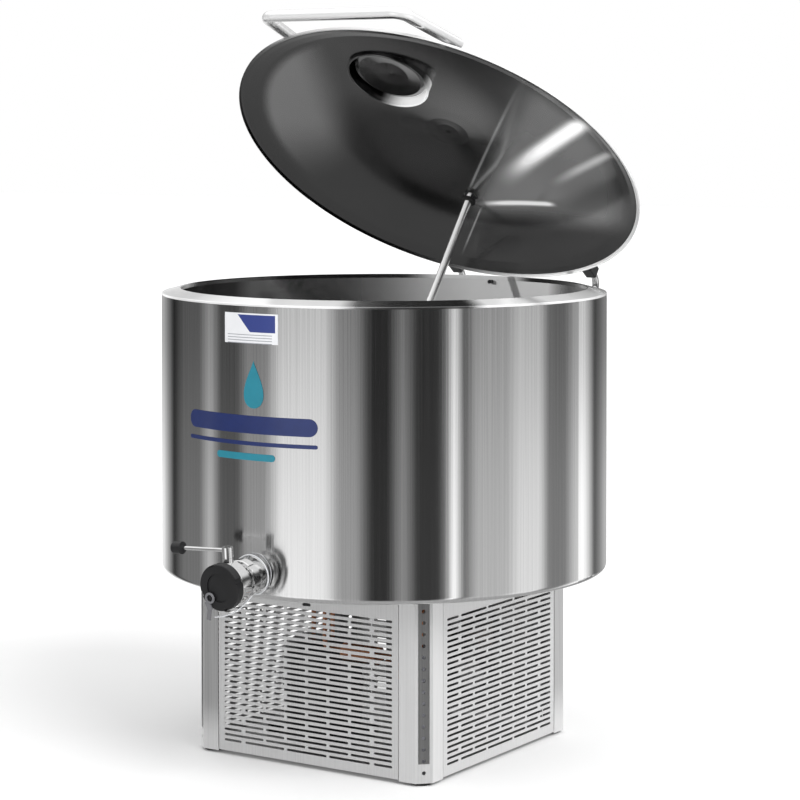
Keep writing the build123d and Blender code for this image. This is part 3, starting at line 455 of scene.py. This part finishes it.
def make_materials():
    """One finish per material slot of the record, and a few for single nodes."""
    upright = (420, 420, 1.6)
    sheet_grain = (300, 300, 3.0)
    return {
        "brushed_jacket": steel("jacket_finish", 0.82, 0.13, upright, contrast=0.10, bump=0.02,
                                smudge=0.01, upright_spread=0.8),
        # Painted light and reflection on the vessel's wall
        "vessel_steel": steel("vessel_finish_and_painted_light", vessel_painted_reflection, 0.22, (60, 60, 60), contrast=0.08, bump=0.01,
                              satin_and_painted_light=vessel_sheen),
        "polished_steel": steel("polished_finish", 0.88, 0.06, (90, 90, 90), contrast=0.05, bump=0.01,
                                smudge=0.01),
        "chrome_steel": steel("chrome_finish", 0.84, 0.08, (70, 70, 70), contrast=0.05, bump=0.005,
                              smudge=0.03),
        "lid_steel": steel("hatch_finish", 0.26, 0.16, (3, 3, 3), grain_scale=2.0, contrast=0.06,
                           bump=0.0, satin_and_painted_light=0.04),
        "base_sheet": steel("base_finish", 0.80, 0.34, sheet_grain, contrast=0.12, bump=0.04,
                            smudge=0.03, satin_and_painted_light=0.36),
        "galvanised_sheet": steel("galvanised_finish", 0.55, 0.5, (45, 45, 45), contrast=0.25,
                                  bump=0.02),
        "zinc_steel": steel("zinc_finish", 0.66, 0.3, (200, 200, 200), contrast=0.15),
        "foam": foam("foam_finish"),
        "label_film": label_film("label_finish"),
        "black_plastic": coated("black_plastic_finish", (0.012, 0.012, 0.013, 1), 0.42),
        "grey_plastic": coated("grey_plastic_finish", (0.36, 0.37, 0.38, 1), 0.5),
        "black_rubber": coated("black_rubber_finish", (0.016, 0.016, 0.016, 1), 0.7, bump=0.3),
        "black_enamel": coated("black_enamel_finish", (0.012, 0.012, 0.014, 1), 0.3, coat=0.6),
        "motor_enamel": coated("motor_enamel_finish", (0.10, 0.12, 0.14, 1), 0.35, coat=0.5),
        "cast_aluminium": coated("cast_finish", (0.52, 0.52, 0.53, 1), 0.45, 500.0, 0.4, metallic=1.0),
        "coil_aluminium": steel("coil_finish", 0.72, 0.35, (50, 50, 900), contrast=0.2),
        "copper_pipe": coated("copper_finish", (0.66, 0.30, 0.17, 1), 0.28, 300.0, 0.1, metallic=1.0),
        "display_glass": dark_display("display_finish"),
        "switch_green": coated("switch_finish", (0.02, 0.22, 0.07, 1), 0.35, coat=0.3),
        # Painted light, shade and a glowing highlight on the lid
        "lid_shell": steel("lid_finish_and_painted_light", lid_painted_shade, 0.16, (3, 3, 3), grain_scale=2.0, contrast=0.06,
                           bump=0.0, smudge=0.03, satin_and_painted_light=lid_sheen, glint=lid_glint),
        # Painted reflection and light on the rim
        "rim_ring": steel("rim_finish_and_painted_light", rim_light, 0.16, (90, 90, 90), contrast=0.05, bump=0.01,
                          satin_and_painted_light=rim_sheen),
        # Painted light and shade on the handle
        "lid_handle": steel("handle_finish_and_painted_light", 0.9, 0.16, (90, 90, 90), contrast=0.03, bump=0.005,
                            satin_and_painted_light=handle_sheen),
        # Painted light and a glowing highlight on the hatch collar
        "hatch_collar": steel("collar_finish_and_painted_light", 0.22, 0.16, (90, 90, 90), contrast=0.05, bump=0.01,
                              satin_and_painted_light=collar_sheen, glint=collar_glint),
        # Painted light and shade on the shaft
        "agitator_shaft": steel("shaft_finish_and_painted_light", 0.9, 0.10, (90, 90, 90), contrast=0.05, bump=0.01,
                                satin_and_painted_light=shaft_sheen),
        "cap_strap": coated("strap_finish", (0.16, 0.16, 0.17, 1), 0.45),
        # Painted light and shade on the corner posts
        "corner_posts": steel("post_finish_and_painted_light", 0.80, 0.34, sheet_grain, contrast=0.12, bump=0.04,
                              smudge=0.03, satin_and_painted_light=post_sheen),
        "leg_channels": steel("leg_finish", 0.42, 0.4, sheet_grain, contrast=0.2, bump=0.04, satin_and_painted_light=0.06),
        "liquid_receiver": coated("receiver_finish", (0.62, 0.62, 0.68, 1), 0.4, coat=0.3,
                                  variation=0.08),
    }


def dress_nodes(finishes):
    """Gives every CAD node its own finish, or else the finish of its slot."""
    for part in frame["record"]["subparts"]:
        mesh = nodes[part["node"]].data
        mesh.materials.clear()
        mesh.materials.append(finishes.get(part["node"]) or finishes[part["material_slot"]])


# ---- Printed emblem on the jacket ----

def on_jacket(across, height, proud=0.0006):
    """A point on the jacket: across is measured along the curve from the front."""
    angle = across / TANK_R
    radius = TANK_R + proud
    return Vector((radius * math.sin(angle), -radius * math.cos(angle), height))


def printed(name, outline, centre, finish, rings=14):
    """A printed shape wrapped on the jacket: an outline round a centre, filled with rings of faces."""
    mesh = bpy.data.meshes.new(name)
    piece = bpy.data.objects.new(name, mesh)
    bpy.context.scene.collection.objects.link(piece)
    form = bmesh.new()
    loops = []
    for ring in range(1, rings + 1):
        part = ring / rings
        shrunk = [(centre[0] + (x - centre[0]) * part, centre[1] + (z - centre[1]) * part)
                  for x, z in outline]
        loops.append([form.verts.new(on_jacket(x, z)) for x, z in shrunk])
    middle = form.verts.new(on_jacket(*centre))
    count = len(outline)
    for index in range(count):
        follow = (index + 1) % count
        form.faces.new((middle, loops[0][index], loops[0][follow]))
        for inner, outer in zip(loops, loops[1:]):
            form.faces.new((inner[index], outer[index], outer[follow], inner[follow]))
    for face in form.faces:
        face.smooth = True
    form.to_mesh(mesh)
    form.free()
    mesh.materials.append(finish)
    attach(piece, "tank")


def bar_outline(left, right, low, high, steps=40):
    """A rounded bar, as points along its edge."""
    radius = (high - low) / 2
    middle = (low + high) / 2
    straight = right - left - 2 * radius
    turns = [math.pi * n / 12 for n in range(1, 12)]
    points = [(left + radius + straight * n / steps, low) for n in range(steps + 1)]
    points += [(right - radius + radius * math.sin(a), middle - radius * math.cos(a)) for a in turns]
    points += [(right - radius - straight * n / steps, high) for n in range(steps + 1)]
    points += [(left + radius - radius * math.sin(a), middle + radius * math.cos(a)) for a in turns]
    return points


def drop_outline(centre, height, steps=72):
    """A milk drop: a round foot that narrows to a point on top."""
    points = []
    for index in range(steps):
        turn = 2 * math.pi * index / steps
        half_width = 0.5 * height * 0.72 * math.sin(turn) * math.sin(turn / 2) ** 1.5
        points.append((centre[0] + half_width, centre[1] + height * 0.5 * math.cos(turn)))
    return points


def make_emblem(inks):
    """A plain drop over three rounded bars."""
    middle = -0.022
    top = (middle + 0.024, 0.815)
    printed("emblem_drop", drop_outline(top, 0.096), (top[0], top[1] - 0.012), inks["teal"])
    bars = (("wide", 0.168, 0.716, 0.752, "navy"), ("thin", 0.168, 0.692, 0.700, "navy"),
            ("short", 0.075, 0.662, 0.676, "teal"))
    for name, half, low, high, tint in bars:
        outline = bar_outline(middle - half, middle + half, low, high)
        printed("emblem_bar_" + name, outline, (middle, (low + high) / 2), inks[tint])


# ---- Cap cord ----

def outlet_point(x, y, z):
    """A point given sideways, upwards and outwards from where the outlet leaves the wall."""
    return OUTLET_WALL + Vector((x, 0, 0)) + OUTLET_UP * y + OUTLET_OUT * z


def smooth_path(points, steps=10):
    """A Catmull-Rom curve through points."""
    padded = [points[0] * 2 - points[1]] + points + [points[-1] * 2 - points[-2]]
    path = []
    for a, b, c, d in zip(padded, padded[1:], padded[2:], padded[3:]):
        for step in range(steps):
            t = step / steps
            path.append(0.5 * (2 * b + (c - a) * t + (2 * a - 5 * b + 4 * c - d) * t ** 2
                               + (3 * b - a - 3 * c + d) * t ** 3))
    return path + [points[-1]]


def tube(name, path, radius, sides=12):
    """A closed round cord along a path."""
    mesh = bpy.data.meshes.new(name)
    piece = bpy.data.objects.new(name, mesh)
    bpy.context.scene.collection.objects.link(piece)
    form = bmesh.new()
    side = Vector((0, 0, 1)).cross(path[1] - path[0]).normalized()
    rings = []
    for index, point in enumerate(path):
        ahead = (path[min(index + 1, len(path) - 1)] - path[max(index - 1, 0)]).normalized()
        side = (side - ahead * side.dot(ahead)).normalized()
        other = ahead.cross(side)
        turns = [2 * math.pi * n / sides for n in range(sides)]
        spokes = [side * math.cos(a) + other * math.sin(a) for a in turns]
        rings.append([form.verts.new(point + radius * spoke) for spoke in spokes])
    for inner, outer in zip(rings, rings[1:]):
        for index in range(sides):
            follow = (index + 1) % sides
            form.faces.new((inner[index], inner[follow], outer[follow], outer[index]))
    form.faces.new(rings[0][::-1])
    form.faces.new(rings[-1])
    for face in form.faces:
        face.smooth = True
    form.to_mesh(mesh)
    form.free()
    return piece


def make_cap_cord(finish):
    """A light cord looped round the wall collar, hanging under the valve towards the cap's strap."""
    loop_r = 0.0405
    loop = []
    for step in range(17):
        turned = 2 * math.pi * step / 16
        angle = turned - math.pi / 2
        out = 0.0045 + 0.0045 * turned / 6.2
        loop.append(outlet_point(loop_r * math.cos(angle), loop_r * math.sin(angle), out))
    hanging = [outlet_point(-0.002, -0.050, 0.022), outlet_point(-0.006, -0.062, 0.050),
               outlet_point(-0.014, -0.066, 0.082), outlet_point(-0.024, -0.064, 0.104)]
    cord = tube("cap_cord", smooth_path(loop + hanging), 0.0016)
    cord.data.materials.append(finish)
    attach(cord, "tank")


# ---- Stage ----

# What the jacket mirrors, from its left edge (-1) to its right edge (1) as the camera sees it:
# each band ends at the first number and has the second as its brightness. Wide bands stay level.
STUDIO = [
    (-0.949, 0.92), (-0.885, 0.02), (-0.77, 0.20), (-0.715, 0.62), (-0.60, 0.12),
    (-0.475, 0.38), (-0.205, 1.08), (-0.10, 0.42), (-0.07, 0.18), (0.035, 0.032), (0.115, 0.36),
    (0.25, 0.045), (0.275, 0.30), (0.305, 1.55), (0.355, 0.10), (0.545, 0.60), (0.68, 0.92),
    (0.79, 0.25), (0.83, 0.60), (0.885, 1.40), (0.945, 0.10), (1.0, 0.50),
]
STUDIO_PEAK = 1.6
WIDE_BAND = 0.085


def studio_stops():
    """The bands as colour stops over a full turn round the object."""
    stops = []
    start = -1.0
    for end, level in STUDIO:
        soft = (end - start) * 0.16
        places = [start + soft, end - soft] if end - start > WIDE_BAND else [(start + end) / 2]
        for place in places:
            turn = 2 * math.asin(place) + place * TANK_R / CAMERA_DISTANCE
            stops.append((0.5 + turn / (2 * math.pi), grey(level / STUDIO_PEAK)))
        start = end
    return stops


def make_world():
    """White backdrop; mirrors see soft boxes and dark flags standing round the object."""
    world = bpy.data.worlds.new("studio")
    bpy.context.scene.world = world
    world.use_nodes = True
    tree = world.node_tree
    tree.nodes.clear()
    ray = add(tree, "ShaderNodeTexCoord").outputs["Generated"]
    axes = add(tree, "ShaderNodeSeparateXYZ", {0: ray})
    turn = maths(tree, "ARCTAN2", axes.outputs["X"], maths(tree, "MULTIPLY", axes.outputs["Y"], -1.0))
    from_camera = maths(tree, "ADD", maths(tree, "DIVIDE", maths(tree, "SUBTRACT", turn, CAMERA_AZIMUTH),
                                           2 * math.pi), 1.5)
    bands = ramp(tree, maths(tree, "FRACT", from_camera), studio_stops())
    height = axes.outputs["Z"]
    level = add(tree, "ShaderNodeMapRange", {"Value": height, "From Min": -0.085, "From Max": -0.15,
                                             "To Min": 0.45, "To Max": 1.05}).outputs[0]
    dimmed = mix_colour(tree, level, grey(0.0), bands)
    with_flag = mix_colour(tree, soft_step(tree, height, 0.06, 0.14), dimmed, grey(0.05))
    with_top = mix_colour(tree, soft_step(tree, height, 0.26, 0.46), with_flag, grey(0.60))
    with_floor = mix_colour(tree, soft_step(tree, height, -0.42, -0.70), with_top, grey(0.26))
    path = add(tree, "ShaderNodeLightPath")
    mirrored = add(tree, "ShaderNodeBackground", {"Color": with_floor, "Strength": STUDIO_PEAK})
    even = add(tree, "ShaderNodeBackground", {"Color": grey(1.0), "Strength": EVEN_LIGHT})
    backdrop = add(tree, "ShaderNodeBackground", {"Color": grey(1.0), "Strength": 1.0})
    lit = add(tree, "ShaderNodeMixShader", {0: path.outputs["Is Glossy Ray"], 1: even.outputs[0],
                                            2: mirrored.outputs[0]})
    seen = add(tree, "ShaderNodeMixShader", {0: path.outputs["Is Camera Ray"], 1: lit.outputs[0],
                                             2: backdrop.outputs[0]})
    output = add(tree, "ShaderNodeOutputWorld")
    tree.links.new(seen.outputs[0], output.inputs["Surface"])


def make_floor():
    """A plain pale floor that mirrors don't show."""
    mesh = bpy.data.meshes.new("floor")
    form = bmesh.new()
    bmesh.ops.create_grid(form, x_segments=8, y_segments=8, size=30)
    form.to_mesh(mesh)
    form.free()
    floor = bpy.data.objects.new("floor", mesh)
    bpy.context.scene.collection.objects.link(floor)
    made, tree, shader = blank("floor_finish")
    colour = mix_colour(tree, noise(tree, 2.0), grey(0.90), grey(0.93))
    tree.links.new(colour, shader.inputs["Base Color"])
    shader.inputs["Roughness"].default_value = 0.9
    shader.inputs["Specular IOR Level"].default_value = 0.0
    mesh.materials.append(made)
    floor.visible_glossy = False


def sun(name, azimuth, elevation, softness, strength):
    """A soft distant lamp; azimuth is turned from the front towards +X."""
    light = bpy.data.lights.new(name, "SUN")
    light.angle = math.radians(softness)
    light.energy = strength
    lamp = bpy.data.objects.new(name, light)
    lamp.rotation_euler = Euler((math.radians(90 - elevation), 0, math.radians(azimuth)))
    lamp.visible_glossy = False
    bpy.context.scene.collection.objects.link(lamp)


def spot(name, place, target, width, power):
    """A narrow soft lamp that mirrors don't show."""
    light = bpy.data.lights.new(name, "SPOT")
    light.spot_size = math.radians(width)
    light.spot_blend = 0.6
    light.shadow_soft_size = 0.05
    light.energy = power
    lamp = bpy.data.objects.new(name, light)
    lamp.location = place
    lamp.rotation_euler = (Vector(target) - Vector(place)).to_track_quat("-Z", "Y").to_euler()
    lamp.visible_glossy = False
    bpy.context.scene.collection.objects.link(lamp)


def shift_lens(camera, side, amount):
    """Shifts the lens while the camera stands here; moved elsewhere, it looks straight ahead."""
    curve = camera.data.driver_add(side)
    while curve.modifiers:
        curve.modifiers.remove(curve.modifiers[0])
    curve.driver.type = "SUM"
    place = curve.driver.variables.new()
    place.type = "TRANSFORMS"
    place.targets[0].id = camera
    place.targets[0].transform_type = "LOC_X"
    place.targets[0].transform_space = "WORLD_SPACE"
    here = camera.location.x
    for away, value in ((-0.1, 0.0), (0.0, amount), (0.1, 0.0)):
        curve.keyframe_points.insert(here + away, value).interpolation = "LINEAR"


def make_camera():
    """The camera at the photograph's viewing angle."""
    camera = bpy.data.objects.new("camera", bpy.data.cameras.new("camera"))
    camera.location = (CAMERA_DISTANCE * math.sin(CAMERA_AZIMUTH),
                       -CAMERA_DISTANCE * math.cos(CAMERA_AZIMUTH), CAMERA_HEIGHT)
    camera.rotation_euler = Euler((math.pi / 2 - CAMERA_PITCH, 0, CAMERA_AZIMUTH))
    camera.data.lens = CAMERA_LENS
    camera.data.clip_end = 100
    bpy.context.scene.collection.objects.link(camera)
    bpy.context.scene.camera = camera
    shift_lens(camera, "shift_x", CAMERA_SHIFT[0])
    shift_lens(camera, "shift_y", CAMERA_SHIFT[1])


def make_stage():
    make_world()
    make_floor()
    sun("key", 78, 44, 35, 1.5)
    spot("vessel", (-2.02, -2.41, 1.75), (0.12, 0.42, 0.93), 11, 430)
    make_camera()
    bpy.context.scene.view_settings.view_transform = "Standard"
    bpy.context.scene.view_settings.look = "None"


finishes = make_materials()
dress_nodes(finishes)
make_cap_cord(coated("cord_finish", PALE_GREY, 0.5, coat=0.2, variation=0.1))
make_emblem({"navy": ink("navy_ink", NAVY), "teal": ink("teal_ink", TEAL)})
make_stage()
